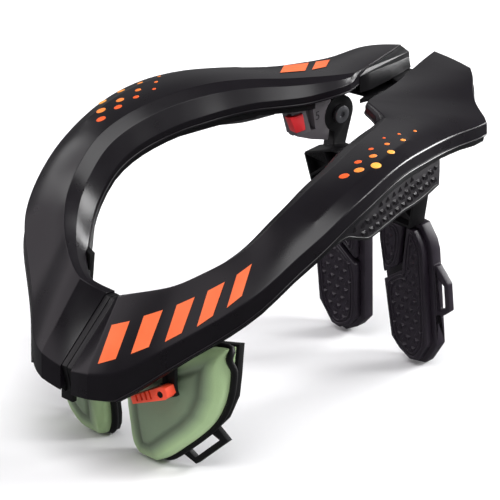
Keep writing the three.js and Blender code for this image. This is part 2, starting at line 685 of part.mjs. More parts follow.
function buildWing(side) {
  const outline = wingOutline.map(wingPoint);
  const frameFront = wingFrameFront;
  const frameBack = frameFront + wingFrameThickness;
  const [outer] = outline[5];
  const { reach, bar } = wingLoop;
  const bottom = wingBase + wingLoop.bottom * height;
  const top = wingBase + wingLoop.top * height;
  const loopShape = [
    [outer - 6, bottom], [outer + 4, bottom], [outer + reach, bottom + 6],
    [outer + reach, top - 6], [outer + 2, top + 5], [outer - 6, top + 5],
  ];
  const loopHole = [
    [outer + 1, bottom + bar], [outer + 3.5, bottom + bar],
    [outer + reach - bar, bottom + bar + 4], [outer + reach - bar, top - 8], [outer + 1, top - 4],
  ];
  const frame = toSolid(plate(outline, 'xz', frameFront, frameBack))
    .add(toSolid(plate(loopShape, 'xz', frameFront + 1.5, frameBack - 1.5, [loopHole])))
    .subtract(toSolid(plate(loopHole, 'xz', frameFront - 1, frameBack + 1)));
  addSide(side, 'wing_frame', leaned(toGeometry(frame)), 'rubber');

  // Two pads, parted by the groove that runs down and then across to the inner edge
  const padBack = wingFaceY + wingPadThickness;
  const face = toSolid(plate(insetOutline(outline, wingMargin), 'xz', wingFaceY, padBack));
  const groove = wingGrooveLine.map(wingPoint);
  const cutter = groove.slice(1).map((end, i) => {
    const band = bandBetween(groove[i], end, wingGroove);
    return toSolid(plate(band, 'xz', wingFaceY - 1, padBack + 1));
  });
  const halves = face.subtract(cutter[0].add(cutter[1])).decompose();
  halves.sort((a, b) => b.volume() - a.volume());
  addSide(side, 'wing_pad', leaned(toGeometry(halves[0])), 'rubber');
  addSide(side, 'wing_upper_pad', leaned(toGeometry(halves[1])), 'rubber');
}

// Ribbed arm between the screw and the wing: a hub beside the bracket, over a panel with ribs
function buildWingArm(side) {
  const hubFrom = bracketInnerX;
  const hubTo = bracketInnerX + bracketThickness;
  const frameTop = wingPoint(wingOutline[8])[1] + fitGap;
  const panelFront = wingFaceY - armForward;
  const panelBack = panelFront + armThickness;
  const onPanel = ([x, rise]) => [x * halfWidth, frameTop + rise * height];
  const panel = armPanel.map(onPanel);
  let arm = toSolid(plate(panel, 'xz', panelFront, panelBack));
  let pocket = toSolid(plate(insetOutline(panel, ribWidth), 'xz', panelFront - 1, panelFront + ribDepth));
  for (const rib of armRibs) {
    const strip = bandBetween(...rib.map(onPanel), ribWidth);
    pocket = pocket.subtract(toSolid(plate(strip, 'xz', panelFront - 2, panelBack)));
  }
  arm = arm.subtract(pocket);
  const hub = toSolid(cylinderX(hubRadius, hubFrom, hubTo, screwY, screwZ, 32));
  const neck = [
    [panelBack - ribDepth, frameTop + 4], [panelBack, frameTop + 4],
    [screwY + hubRadius * 0.94, screwZ - 4], [screwY - hubRadius * 0.4, screwZ - hubRadius * 0.85],
  ];
  arm = arm.add(hub).add(toSolid(plate(neck, 'yz', hubFrom, hubTo)));
  arm = arm.subtract(toSolid(cylinderX(screwRadius + fitGap, hubFrom - 1, hubTo + 1, screwY, screwZ)));
  addSide(side, 'wing_arm', leaned(toGeometry(arm)), 'chassis');
}

// Rear hinge: a tongue on the left half runs into a fork on the right half
function buildHinge() {
  const rightEnd = collarSection(rightRows, lastOf(rightRows));
  const leftEnd = collarSection(leftRows, lastOf(leftRows));
  const overFork = [0, 0.5, 1, 1.5, 2].map((back) => collarSection(rightRows, lastOf(rightRows) - back));
  const undersides = overFork.flatMap(({ outerFoot, innerFoot }) => [outerFoot.z, innerFoot.z]);
  const forkTop = Math.min(...undersides) - fitGap;
  const slotTop = forkTop - forkPlate;
  const slotLow = slotTop - tongueThickness - 2 * fitGap;
  const forkLow = slotLow - forkPlate;

  // Fork, in the mirrored frame of the left half
  const px = -pivotX;
  const seamFront = rightEnd.innerEdge;
  const seamRear = rightEnd.ridge;
  const seam = seamRear.clone().sub(seamFront).setZ(0).normalize();
  const toMiddle = new THREE.Vector3(-seam.y, seam.x, 0);
  const beyond = (point, run, reach, z) => point.clone().addScaledVector(seam, run)
    .addScaledVector(toMiddle, reach).setZ(z);
  const capRing = (low) => [
    beyond(seamFront, 1, fitGap, low ? forkLow : rightEnd.innerEdge.z),
    beyond(seamFront, 11, low ? 6 : 3, low ? forkLow : rightEnd.crease.z - 3),
    beyond(seamRear, -20, low ? 11 : 7, low ? forkLow : rightEnd.ridge.z - 4),
    beyond(seamRear, -6, low ? 12 : 9, low ? forkLow : rightEnd.ridge.z - 5),
    beyond(seamRear, 0, low ? 7 : 6, low ? forkLow : rightEnd.ridge.z - 4),
    beyond(seamRear, 0, fitGap, low ? forkLow : rightEnd.ridge.z - 1),
    beyond(seamFront, 11, fitGap, low ? forkLow : rightEnd.crease.z - 1),
  ];
  const cap = toSolid(loft([capRing(true), capRing(false)]));
  const base = [
    beyond(seamFront, 12, 1, 0), beyond(seamRear, -4, 1, 0),
    beyond(seamRear, -12, -20, 0), beyond(seamFront, 14, -20, 0),
  ].map((p) => [p.x, p.y]);
  const block = toSolid(plate(base, 'xy', forkLow, forkTop)).subtract(grownRight);
  const slotReach = px + tongueEndRadius + 1.5;
  const slot = toSolid(box(-halfWidth, slotReach, halfLength / 2, halfLength * 1.2, slotLow, slotTop));
  const bore = toSolid(cylinderZ(pinRadius + fitGap, forkLow - 1, forkTop + 1, px, pivotY));
  const fork = largestBody(cap.add(block).subtract(slot).subtract(bore));
  addPiece('right_end_cap', mirrored(toGeometry(fork)), 'chassis');

  // Tongue: a flat plate from the pivot that rises to the left table's slanting end
  const endFront = leftEnd.crease;
  const endRear = leftEnd.ridge;
  const parting = endRear.clone().sub(endFront).setZ(0).normalize();
  const toRight = new THREE.Vector3(-parting.y, parting.x, 0);
  const onEnd = (run, reach) => endFront.clone().addScaledVector(parting, run)
    .addScaledVector(toRight, reach);
  const tongueLow = slotLow + fitGap;
  const tongueTop = slotTop - fitGap;
  const span = endRear.distanceTo(endFront);
  const flat = [onEnd(span * 0.25, 0.5), onEnd(span - 3, 0.5)];
  const tip = new THREE.Vector3(pivotX, pivotY, 0);
  const swing = [];
  for (let i = 0; i <= 8; i += 1) {
    const turn = Math.PI * (0.45 + i / 8);
    swing.push([tip.x + tongueEndRadius * Math.cos(turn), tip.y + tongueEndRadius * Math.sin(turn)]);
  }
  const leafOutline = [...flat.map((point) => [point.x, point.y]), ...swing];
  const leaf = toSolid(plate(leafOutline, 'xy', tongueLow, tongueTop));
  const rampReach = 11;
  const rampTop = endFront.z - 2.5;
  const ramp = (run) => [
    onEnd(run, 0.5).setZ(tongueLow), onEnd(run, 0.5).setZ(rampTop),
    onEnd(run, 3).setZ(rampTop - 1), onEnd(run, rampReach).setZ(tongueTop),
    onEnd(run, rampReach).setZ(tongueLow),
  ];
  const tongue = leaf.add(toSolid(loft([ramp(span * 0.25), ramp(span - 3)])))
    .subtract(toSolid(cylinderZ(pinRadius + fitGap, tongueLow - 1, tongueTop + 1, pivotX, pivotY)));
  addPiece('hinge_tongue', toGeometry(largestBody(tongue)), 'chassis');
  addPiece('hinge_pin', cylinderZ(pinRadius, forkLow, forkTop, pivotX, pivotY), 'steel');
}

// Front latch: an orange-red lever on a pin, carried by a small mount under the left arm
const latchAt = new THREE.Vector3(0.487 * halfWidth, -0.785 * halfLength, 0.328 * height);
const latchTurn = 10;
const latchSlope = -22;
function toLatch(geometry) {
  geometry.rotateY(THREE.MathUtils.degToRad(latchSlope));
  geometry.rotateZ(THREE.MathUtils.degToRad(latchTurn));
  return geometry.translate(latchAt.x, latchAt.y, latchAt.z);
}

function buildLatch() {
  const half = leverWidth / 2;
  const bar = [
    [-leverLength, -leverThickness * 0.5], [3, -leverThickness * 0.55], [6, -2],
    [6, leverThickness * 0.5], [2, leverThickness * 0.7], [-4, leverThickness * 0.6],
    [-leverLength, leverThickness * 0.2],
  ];
  let lever = toSolid(plate(bar, 'xz', -half, half));
  const ribs = 4;
  for (let i = 0; i < ribs; i += 1) {
    const x = -leverLength + 4 + i * 4;
    const notch = box(x, x + 1.6, -half - 1, -half + 1.2, -leverThickness * 0.3, leverThickness);
    lever = lever.subtract(toSolid(notch));
  }
  lever = lever.subtract(toSolid(cylinderY(latchPinRadius + fitGap, -half - 1, half + 1)));
  addPiece('latch_lever', toLatch(toGeometry(lever)), 'lever');
  const mountThickness = 3.4;
  const back = half + fitGap;
  const pin = toSolid(toLatch(cylinderY(latchPinRadius, -half, back + 1)));
  const square = [[-5, -5], [5, -5], [5, 5], [-5, 5]];
  const cheek = toSolid(toLatch(plate(square, 'xz', back, back + mountThickness)));
  const post = box(-5, 5, back, back + mountThickness, 0, height / 3);
  post.rotateZ(THREE.MathUtils.degToRad(latchTurn));
  post.translate(latchAt.x, latchAt.y, latchAt.z);
  const mount = pin.add(cheek).add(seatUnderCollar(toSolid(post)));
  addPiece('latch_mount', toGeometry(largestBody(mount)), 'chassis');
}

function cylinderY(radius, from, to, sides = 16) {
  return new THREE.CylinderGeometry(radius, radius, to - from, sides).translate(0, (from + to) / 2, 0);
}

buildShells();
buildChassis();
buildSeamPlates();
buildHinge();
buildLatch();
for (const side of ['left', 'right']) {
  buildShoulderPad(side);
  buildChestPad(side);
  buildBracket(side);
  buildWingArm(side);
  buildWing(side);
}

// Stand the brace on the floor, with the middle of its footprint at the origin
const bounds = new THREE.Box3().setFromObject(scene);
const middle = bounds.getCenter(new THREE.Vector3());
scene.position.set(-middle.x, -middle.y, -bounds.min.z);

const brace = new THREE.Group();
brace.add(scene);

export default brace;
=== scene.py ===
# Motocross neck brace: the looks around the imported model. Metres, +Z up, front at -Y.
import json
import math

import bmesh
import bpy
from mathutils import Matrix, Vector
from mathutils.bvhtree import BVHTree

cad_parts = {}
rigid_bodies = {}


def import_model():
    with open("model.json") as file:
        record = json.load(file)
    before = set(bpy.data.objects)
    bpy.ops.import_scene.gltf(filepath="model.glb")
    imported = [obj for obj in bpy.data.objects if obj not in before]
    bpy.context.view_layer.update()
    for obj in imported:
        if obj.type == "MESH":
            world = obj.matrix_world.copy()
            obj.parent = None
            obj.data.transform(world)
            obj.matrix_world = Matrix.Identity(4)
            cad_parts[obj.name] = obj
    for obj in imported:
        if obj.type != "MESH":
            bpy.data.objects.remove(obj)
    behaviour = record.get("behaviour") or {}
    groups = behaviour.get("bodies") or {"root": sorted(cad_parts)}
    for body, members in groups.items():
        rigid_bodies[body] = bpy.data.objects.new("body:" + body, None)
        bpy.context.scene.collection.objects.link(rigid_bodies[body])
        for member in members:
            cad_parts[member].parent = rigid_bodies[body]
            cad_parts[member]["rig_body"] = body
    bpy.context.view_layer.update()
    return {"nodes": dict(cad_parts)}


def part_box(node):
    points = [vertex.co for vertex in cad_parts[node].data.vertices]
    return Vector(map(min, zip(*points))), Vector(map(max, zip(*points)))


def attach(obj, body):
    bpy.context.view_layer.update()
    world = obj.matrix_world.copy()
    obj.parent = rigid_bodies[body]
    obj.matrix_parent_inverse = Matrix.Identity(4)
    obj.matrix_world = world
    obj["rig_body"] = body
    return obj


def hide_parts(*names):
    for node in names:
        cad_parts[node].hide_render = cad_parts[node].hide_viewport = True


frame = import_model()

sides = ("left", "right")
scene = bpy.context.scene
mm = 0.001
up = Vector((0, 0, 1))
meshLooks = {"merge": 0.02 * mm, "joinAngle": 50, "flatAngle": 1, "smoothAngle": 35}


# Small helpers for meshes
def addPiece(name, shape, material, body, smooth=True):
    # a finished bmesh becomes a piece that rides on its body
    mesh = bpy.data.meshes.new(name)
    shape.to_mesh(mesh)
    shape.free()
    piece = bpy.data.objects.new(name, mesh)
    scene.collection.objects.link(piece)
    mesh.materials.append(material)
    mesh.polygons.foreach_set("use_smooth", [smooth] * len(mesh.polygons))
    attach(piece, body)
    return piece


def applyModifiers(piece):
    bpy.context.view_layer.update()
    graph = bpy.context.evaluated_depsgraph_get()
    baked = piece.evaluated_get(graph)
    mesh = bpy.data.meshes.new_from_object(baked, preserve_all_data_layers=True, depsgraph=graph)
    piece.modifiers.clear()
    piece.data = mesh


def mergedCopy(node, quads):
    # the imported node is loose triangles, so its corners are merged first
    shape = bmesh.new()
    shape.from_mesh(frame["nodes"][node].data)
    bmesh.ops.remove_doubles(shape, verts=shape.verts, dist=meshLooks["merge"])
    if quads:
        bmesh.ops.join_triangles(shape, faces=shape.faces, angle_face_threshold=math.radians(meshLooks["joinAngle"]),
                                 angle_shape_threshold=math.pi)
    else:
        bmesh.ops.dissolve_limit(shape, angle_limit=math.radians(meshLooks["flatAngle"]), verts=shape.verts,
                                 edges=shape.edges)
    return shape


def roundedCopy(node, name, material, width, segments=2, angle=30):
    # a hard piece with the edges of its CAD solid rounded over
    piece = addPiece(name, mergedCopy(node, False), material, bodyOf(node), smooth=False)
    bevel = piece.modifiers.new("edges", "BEVEL")
    bevel.width = width
    bevel.segments = segments
    bevel.limit_method = "ANGLE"
    bevel.angle_limit = math.radians(angle)
    applyModifiers(piece)
    smoothByAngle(piece, meshLooks["smoothAngle"])
    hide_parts(node)
    return piece


def smoothByAngle(piece, angle):
    mesh = piece.data
    mesh.polygons.foreach_set("use_smooth", [True] * len(mesh.polygons))
    shape = bmesh.new()
    shape.from_mesh(mesh)
    for edge in shape.edges:
        edge.smooth = len(edge.link_faces) == 2 and edge.calc_face_angle(0) < math.radians(angle)
    shape.to_mesh(mesh)
    shape.free()


def bodyOf(node):
    return frame["nodes"][node]["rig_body"]


# Materials
def nodeTree(name):
    material = bpy.data.materials.new(name)
    material.use_nodes = True
    return material, material.node_tree.nodes, material.node_tree.links


def groupNode(nodes, group, **values):
    placed = nodes.new("ShaderNodeGroup")
    placed.node_tree = group
    for name, value in values.items():
        placed.inputs[name].default_value = value
    return placed


grainLooks = {"fineDetail": 3, "slowDetail": 4, "mottle": (0.3, 0.7), "depth": 0.05 * mm}


def buildGrain():
    # moulded grain: a fine height and a slow mottle, both from Object coordinates
    group = bpy.data.node_groups.new("mouldedGrain", "ShaderNodeTree")
    face = group.interface
    for name, value in (("Fineness", 2500.0), ("Patch", 60.0)):
        socket = face.new_socket(name=name, in_out="INPUT", socket_type="NodeSocketFloat")
        socket.default_value = value
    for name in ("Height", "Mottle"):
        face.new_socket(name=name, in_out="OUTPUT", socket_type="NodeSocketFloat")
    nodes, links = group.nodes, group.links
    given = nodes.new("NodeGroupInput")
    result = nodes.new("NodeGroupOutput")
    place = nodes.new("ShaderNodeTexCoord")
    fine = nodes.new("ShaderNodeTexNoise")
    fine.inputs["Detail"].default_value = grainLooks["fineDetail"]
    slow = nodes.new("ShaderNodeTexNoise")
    slow.inputs["Detail"].default_value = grainLooks["slowDetail"]
    for texture, name in ((fine, "Fineness"), (slow, "Patch")):
        links.new(place.outputs["Object"], texture.inputs["Vector"])
        links.new(given.outputs[name], texture.inputs["Scale"])
    links.new(fine.outputs["Fac"], result.inputs["Height"])
    links.new(slow.outputs["Fac"], result.inputs["Mottle"])
    return group


grain = buildGrain()


def mixColours(nodes, links, factor, first, second):
    mix = nodes.new("ShaderNodeMix")
    mix.data_type = "RGBA"
    links.new(factor, mix.inputs["Factor"])
    for socket, colour in (("A", first), ("B", second)):
        target = [s for s in mix.inputs if s.name == socket and s.type == "RGBA"][0]
        if isinstance(colour, tuple):
            target.default_value = (*colour, 1)
        else:
            links.new(colour, target)
    return [s for s in mix.outputs if s.type == "RGBA"][0]


def mapRange(nodes, links, value, low, high, toLow, toHigh):
    span = nodes.new("ShaderNodeMapRange")
    links.new(value, span.inputs["Value"])
    for name, number in (("From Min", low), ("From Max", high), ("To Min", toLow), ("To Max", toHigh)):
        span.inputs[name].default_value = number
    return span.outputs["Result"]


def uneven(nodes, links, marks, shader, low, high):
    # gloss that follows the grain's mottle
    rough = mapRange(nodes, links, marks.outputs["Mottle"], *grainLooks["mottle"], low, high)
    links.new(rough, shader.inputs["Roughness"])


def bumpOn(nodes, links, height, strength, depth, below=None):
    bump = nodes.new("ShaderNodeBump")
    bump.inputs["Strength"].default_value = strength
    bump.inputs["Distance"].default_value = depth
    links.new(height, bump.inputs["Height"])
    if below:
        links.new(below, bump.inputs["Normal"])
    return bump.outputs["Normal"]


def linear(code):
    # a screen colour such as 7f9470 as linear light
    parts = [int(code[i:i + 2], 16) / 255 for i in (0, 2, 4)]
    return tuple(p / 12.92 if p < 0.04045 else ((p + 0.055) / 1.055) ** 2.4 for p in parts)


def plastic(name, colour, light, rough, roughSpread=0.06, bump=0.15, fineness=2500, **fixed):
    # a plastic or rubber with moulded grain: two near tones, uneven gloss and a fine height
    material, nodes, links = nodeTree(name)
    shader = nodes["Principled BSDF"]
    marks = groupNode(nodes, grain, Fineness=fineness)
    links.new(mixColours(nodes, links, marks.outputs["Mottle"], linear(colour), linear(light)),
              shader.inputs["Base Color"])
    uneven(nodes, links, marks, shader, rough - roughSpread, rough + roughSpread)
    links.new(bumpOn(nodes, links, marks.outputs["Height"], bump, grainLooks["depth"]), shader.inputs["Normal"])
    for socket, value in fixed.items():
        shader.inputs[socket.replace("_", " ")].default_value = value
    return material


shellPlastic = plastic("shellPlastic", "0f0c10", "141116", 0.29, roughSpread=0.02, bump=0.06,
                       Specular_IOR_Level=0.3)
framePlastic = plastic("framePlastic", "0a090b", "100f12", 0.42, Specular_IOR_Level=0.35)
shoulderRubber = plastic("shoulderRubber", "131014", "1c181e", 0.5, bump=0.4, fineness=1800,
                         Specular_IOR_Level=0.35)
padRubber = plastic("padRubber", "1f1922", "2b242e", 0.42, bump=0.4, fineness=1800, Specular_IOR_Level=0.45)
rimRubber = plastic("rimRubber", "0a0a0b", "131214", 0.55, bump=0.3, Specular_IOR_Level=0.35)
greyPlastic = plastic("greyPlastic", "4b474b", "5c575b", 0.5)
redPlastic = plastic("redPlastic", "b50f18", "cc1620", 0.4)
orangePlastic = plastic("orangePlastic", "e83f24", "f2512f", 0.38)
steel = plastic("steel", "8f8f94", "aaaaae", 0.4, Metallic=1.0)


def buildDotInk(name, cold, warm):
    # printed ink whose tone runs along the rows, from a number kept on each dot
    material, nodes, links = nodeTree(name)
    shader = nodes["Principled BSDF"]
    tone = nodes.new("ShaderNodeAttribute")
    tone.attribute_name = "tone"
    links.new(mixColours(nodes, links, tone.outputs["Fac"], linear(cold), linear(warm)), shader.inputs["Base Color"])
    uneven(nodes, links, groupNode(nodes, grain, Fineness=3000, Patch=200), shader, 0.34, 0.46)
    shader.inputs["Specular IOR Level"].default_value = 0.3
    return material


dotInk = buildDotInk("dotInk", "f4602a", "ffb24e")
barInk = plastic("barInk", "ee6434", "fa7a48", 0.42, bump=0.08, Specular_IOR_Level=0.3)
markInk = plastic("markInk", "151416", "1c1a1d", 0.5, bump=0.05)


# Foam skin of the chest pads. The band colours are the sides' own lighter green with painted highlight along the
# rounded edge, and the groove colour is painted shade in the pressed border. Depths from the edge are in millimetres
skinLooks = {"centre": ("62725a", "73866a"), "band": ("93ad7d", "a6c08f"), "groove": "46513f",
             "bandEnds": (3.0, 9.0), "cells": 620, "cellWall": 0.25, "cellDepth": 0.12 * mm, "bump": 0.3,
             "rough": (0.55, 0.7), "sheen": 0.15, "specular": 0.35}


def buildPadSkin():
    # the side band is lighter, partly its own green and partly painted highlight on the rounded edge; the pressed
    # border is darkened by painted shade; the middle has fine cells
    material, nodes, links = nodeTree("padSkin")
    shader = nodes["Principled BSDF"]
    marks = groupNode(nodes, grain, Fineness=1600, Patch=45)
    depth = nodes.new("ShaderNodeAttribute")
    depth.attribute_name = "fromEdge"
    # the band's lighter colour, with its painted highlight, goes where fromEdge is small: near the outline and on
    # faces turned from the front
    inside = mapRange(nodes, links, depth.outputs["Fac"], *skinLooks["bandEnds"], 0.0, 1.0)
    centre, band = (mixColours(nodes, links, marks.outputs["Mottle"], *(linear(code) for code in skinLooks[part]))
                    for part in ("centre", "band"))
    skin = mixColours(nodes, links, inside, band, centre)
    # painted shade: the pressed border is darkened toward a darker green
    groove = nodes.new("ShaderNodeAttribute")
    groove.attribute_name = "pressed"
    links.new(mixColours(nodes, links, groove.outputs["Fac"], skin, linear(skinLooks["groove"])),
              shader.inputs["Base Color"])
    place = nodes.new("ShaderNodeTexCoord")
    cells = nodes.new("ShaderNodeTexVoronoi")
    cells.feature = "DISTANCE_TO_EDGE"
    cells.inputs["Scale"].default_value = skinLooks["cells"]
    links.new(place.outputs["Object"], cells.inputs["Vector"])
    walls = mapRange(nodes, links, cells.outputs["Distance"], 0.0, skinLooks["cellWall"], 0.0, 1.0)
    coarse = bumpOn(nodes, links, walls, skinLooks["bump"], skinLooks["cellDepth"])
    fine = bumpOn(nodes, links, marks.outputs["Height"], skinLooks["bump"], grainLooks["depth"], coarse)
    links.new(fine, shader.inputs["Normal"])
    uneven(nodes, links, marks, shader, *skinLooks["rough"])
    shader.inputs["Sheen Weight"].default_value = skinLooks["sheen"]
    shader.inputs["Specular IOR Level"].default_value = skinLooks["specular"]
    return material


padSkin = buildPadSkin()
print("materials made")

# Camera at the photograph's angle
cameraLooks = {"azimuth": 47.5, "elevation": 24.3, "distance": 5.376, "lens": 600, "sensor": 36,
               "target": (0, -0.0103, 0.104), "frame": 500, "clipEnd": 50}


def direction(azimuth, elevation):
    # azimuth 0 is in front of the wearer and 90 is to the wearer's left
    a, e = math.radians(azimuth), math.radians(elevation)
    return Vector((math.sin(a) * math.cos(e), -math.cos(a) * math.cos(e), math.sin(e)))


def buildCamera():
    data = bpy.data.cameras.new("camera")
    data.lens = cameraLooks["lens"]
    data.sensor_width = cameraLooks["sensor"]
    data.clip_end = cameraLooks["clipEnd"]
    camera = bpy.data.objects.new("camera", data)
    scene.collection.objects.link(camera)
    back = direction(cameraLooks["azimuth"], cameraLooks["elevation"])
    camera.location = Vector(cameraLooks["target"]) + back * cameraLooks["distance"]
    camera.rotation_euler = back.to_track_quat("Z", "Y").to_euler()
    scene.camera = camera
    bpy.context.view_layer.update()
    return camera


camera = buildCamera()


# Surfaces: a tree to measure a piece by, and where a place in the photograph's frame meets it
def treeOf(piece):
    shape = bmesh.new()
    shape.from_mesh(piece.data)
    tree = BVHTree.FromBMesh(shape)
    shape.free()
    return tree


def placeSeen(tree, across, down):
    half = cameraLooks["sensor"] / 2 / cameraLooks["lens"]
    size = cameraLooks["frame"]
    ray = Vector(((across / size * 2 - 1) * half, (1 - down / size * 2) * half, -1))
    heading = (camera.matrix_world.to_3x3() @ ray).normalized()
    spot, normal, _, _ = tree.ray_cast(camera.location, heading)
    return spot, normal


stampLooks = {"rings": 8, "tip": 0.22}


def stampTree(name, kind):
    # a small raised shape set on every point of a mesh, turned to face the way its normal points
    tree = bpy.data.node_groups.new(name, "GeometryNodeTree")
    face = tree.interface
    face.new_socket(name="Points", in_out="INPUT", socket_type="NodeSocketGeometry")
    for label in ("Radius", "Height", "Sides"):
        socketType = "NodeSocketInt" if label == "Sides" else "NodeSocketFloat"
        face.new_socket(name=label, in_out="INPUT", socket_type=socketType)
    face.new_socket(name="Finish", in_out="INPUT", socket_type="NodeSocketMaterial")
    face.new_socket(name="Stamps", in_out="OUTPUT", socket_type="NodeSocketGeometry")
    nodes, links = tree.nodes, tree.links
    given = nodes.new("NodeGroupInput")
    result = nodes.new("NodeGroupOutput")
    if kind == "dome":
        stamp = nodes.new("GeometryNodeMeshUVSphere")
        stamp.inputs["Rings"].default_value = stampLooks["rings"]
        links.new(given.outputs["Radius"], stamp.inputs["Radius"])
        links.new(given.outputs["Sides"], stamp.inputs["Segments"])
    else:
        stamp = nodes.new("GeometryNodeMeshCone")
        links.new(given.outputs["Radius"], stamp.inputs["Radius Bottom"])
        links.new(given.outputs["Sides"], stamp.inputs["Vertices"])
        links.new(given.outputs["Height"], stamp.inputs["Depth"])
        small = nodes.new("ShaderNodeMath")
        small.operation = "MULTIPLY"
        small.inputs[1].default_value = stampLooks["tip"]
        links.new(given.outputs["Radius"], small.inputs[0])
        links.new(small.outputs[0], stamp.inputs["Radius Top"])
    flat = nodes.new("GeometryNodeTransform")
    squash = nodes.new("ShaderNodeCombineXYZ")
    for axis in squash.inputs:
        axis.default_value = 1
    if kind == "dome":
        ratio = nodes.new("ShaderNodeMath")
        ratio.operation = "DIVIDE"
        links.new(given.outputs["Height"], ratio.inputs[0])
        links.new(given.outputs["Radius"], ratio.inputs[1])
        links.new(ratio.outputs[0], squash.inputs[2])
    links.new(squash.outputs[0], flat.inputs["Scale"])
    links.new(stamp.outputs["Mesh"], flat.inputs["Geometry"])
    spread = nodes.new("GeometryNodeInstanceOnPoints")
    links.new(given.outputs["Points"], spread.inputs["Points"])
    links.new(flat.outputs["Geometry"], spread.inputs["Instance"])
    for attribute, socket in (("turn", "Rotation"), ("size", "Scale")):
        read = nodes.new("GeometryNodeInputNamedAttribute")
        read.data_type = "FLOAT_VECTOR"
        read.inputs["Name"].default_value = attribute
        links.new(read.outputs["Attribute"], spread.inputs[socket])
    real = nodes.new("GeometryNodeRealizeInstances")
    finish = nodes.new("GeometryNodeSetMaterial")
    links.new(spread.outputs["Instances"], real.inputs["Geometry"])
    links.new(real.outputs["Geometry"], finish.inputs["Geometry"])
    links.new(given.outputs["Finish"], finish.inputs["Material"])
    links.new(finish.outputs["Geometry"], result.inputs["Stamps"])
    return tree


stampTrees = {kind: stampTree(f"{kind}Stamps", kind) for kind in ("dome", "pyramid")}


def addStamps(name, kind, spots, material, body, radius, height, sides):
    # spots are dictionaries with a place, a normal, an across direction, a size and a tone
    mesh = bpy.data.meshes.new(name)
    mesh.from_pydata([spot["at"] for spot in spots], [], [])
    for label, kindOf in (("turn", "FLOAT_VECTOR"), ("size", "FLOAT_VECTOR"), ("tone", "FLOAT")):
        mesh.attributes.new(label, kindOf, "POINT")
    turn, size, tone = (mesh.attributes[label] for label in ("turn", "size", "tone"))
    for i, spot in enumerate(spots):
        normal = spot["normal"].normalized()
        across = (spot["across"] - normal * spot["across"].dot(normal)).normalized()
        axes = Matrix((across, normal.cross(across), normal)).transposed()
        turn.data[i].vector = axes.to_euler("XYZ")
        size.data[i].vector = spot.get("size", (1, 1, 1))
        tone.data[i].value = spot.get("tone", 0)
    piece = bpy.data.objects.new(name, mesh)
    scene.collection.objects.link(piece)
    modifier = piece.modifiers.new("stamps", "NODES")
    modifier.node_group = stampTrees[kind]
    values = {"Radius": radius, "Height": height, "Sides": sides, "Finish": material}
    for item in stampTrees[kind].interface.items_tree:
        if item.in_out == "INPUT" and item.name in values:
            modifier[item.identifier] = values[item.name]
    applyModifiers(piece)
    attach(piece, body)
    return piece


def tubeAlong(name, points, radius, material, body, closed=False, smooth=True):
    # a round bead swept through the points
    curve = bpy.data.curves.new(name, "CURVE")
    curve.dimensions = "3D"
    curve.bevel_depth = radius
    curve.bevel_resolution = 2
    spline = curve.splines.new("NURBS" if smooth else "POLY")
    spline.points.add(len(points) - 1)
    for target, point in zip(spline.points, points):
        target.co = (*point, 1)
    spline.use_cyclic_u = closed
    if smooth:
        spline.order_u = 4
        spline.use_endpoint_u = not closed
        spline.resolution_u = 3
    curve.use_fill_caps = not closed
    shaped = bpy.data.objects.new(name + "Curve", curve)
    scene.collection.objects.link(shaped)
    bpy.context.view_layer.update()
    graph = bpy.context.evaluated_depsgraph_get()
    mesh = bpy.data.meshes.new_from_object(shaped.evaluated_get(graph), depsgraph=graph)
    bpy.data.objects.remove(shaped)
    shape = bmesh.new()
    shape.from_mesh(mesh)
    bmesh.ops.recalc_face_normals(shape, faces=shape.faces)
    return addPiece(name, shape, material, body)


print("tools made")

# Collar shells: CAD sections, with each edge rounded by its own radius and then subdivided
shellLooks = {"bevel": 4 * mm, "segments": 3, "levels": 2, "foldAngle": 16, "ridge": 1.5, "inner": 0.55,
              "end": 0.2, "low": 0.22, "topRise": 0.45, "ridgeFacing": 0.35, "innerFacing": -0.3}


def edgeKind(edge):
    # the ridge, the inner crease, an end or a low edge, told apart by the two faces' directions
    first, second = (face.normal for face in edge.link_faces)
    top, wall = (first, second) if first.z > second.z else (second, first)
    middle = (edge.verts[0].co + edge.verts[1].co) / 2
    outward = Vector((middle.x, middle.y, 0)).normalized()
    if top.z < shellLooks["topRise"]:
        return "low"
    facing = Vector((wall.x, wall.y, 0)).dot(outward)
    if facing > shellLooks["ridgeFacing"]:
        return "ridge"
    return "inner" if facing < shellLooks["innerFacing"] else "end"


def buildShell(side):
    node = f"{side}_shell"
    shape = mergedCopy(node, True)
    shape.normal_update()
    weights = shape.edges.layers.float.new("bevel_weight_edge")
    for edge in shape.edges:
        if len(edge.link_faces) == 2 and edge.calc_face_angle(0) > math.radians(shellLooks["foldAngle"]):
            edge[weights] = shellLooks[edgeKind(edge)]
    piece = addPiece(f"{side}Shell", shape, shellPlastic, bodyOf(node))
    bevel = piece.modifiers.new("edges", "BEVEL")
    bevel.limit_method = "WEIGHT"
    bevel.width = shellLooks["bevel"]
    bevel.segments = shellLooks["segments"]
    smooth = piece.modifiers.new("smooth", "SUBSURF")
    smooth.levels = smooth.render_levels = shellLooks["levels"]
    applyModifiers(piece)
    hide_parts(node)
    return piece


shells = {side: buildShell(side) for side in sides}

# A thin raised bead runs along the lower edges of each shell
rimLooks = {"radius": 0.85 * mm, "fewest": 12, "underFall": -0.6, "wallTilt": 0.55, "foldAngle": 35}


def edgeLines(shape, wanted):
    # chains of neighbouring edges whose faces pass the test
    links = {}
    for edge in shape.edges:
        if len(edge.link_faces) == 2 and wanted(edge):
            for vert in edge.verts:
                links.setdefault(vert, []).append(edge.other_vert(vert))
    lines = []
    used = set()
    for start in [v for v in links if len(links[v]) == 1]:
        if start in used:
            continue
        line, here, before = [start], start, None
        used.add(start)
        while True:
            ahead = [v for v in links[here] if v is not before and v not in used]
            if not ahead:
                break
            before, here = here, ahead[0]
            used.add(here)
            line.append(here)
        lines.append([vert.co.copy() for vert in line])
    return lines


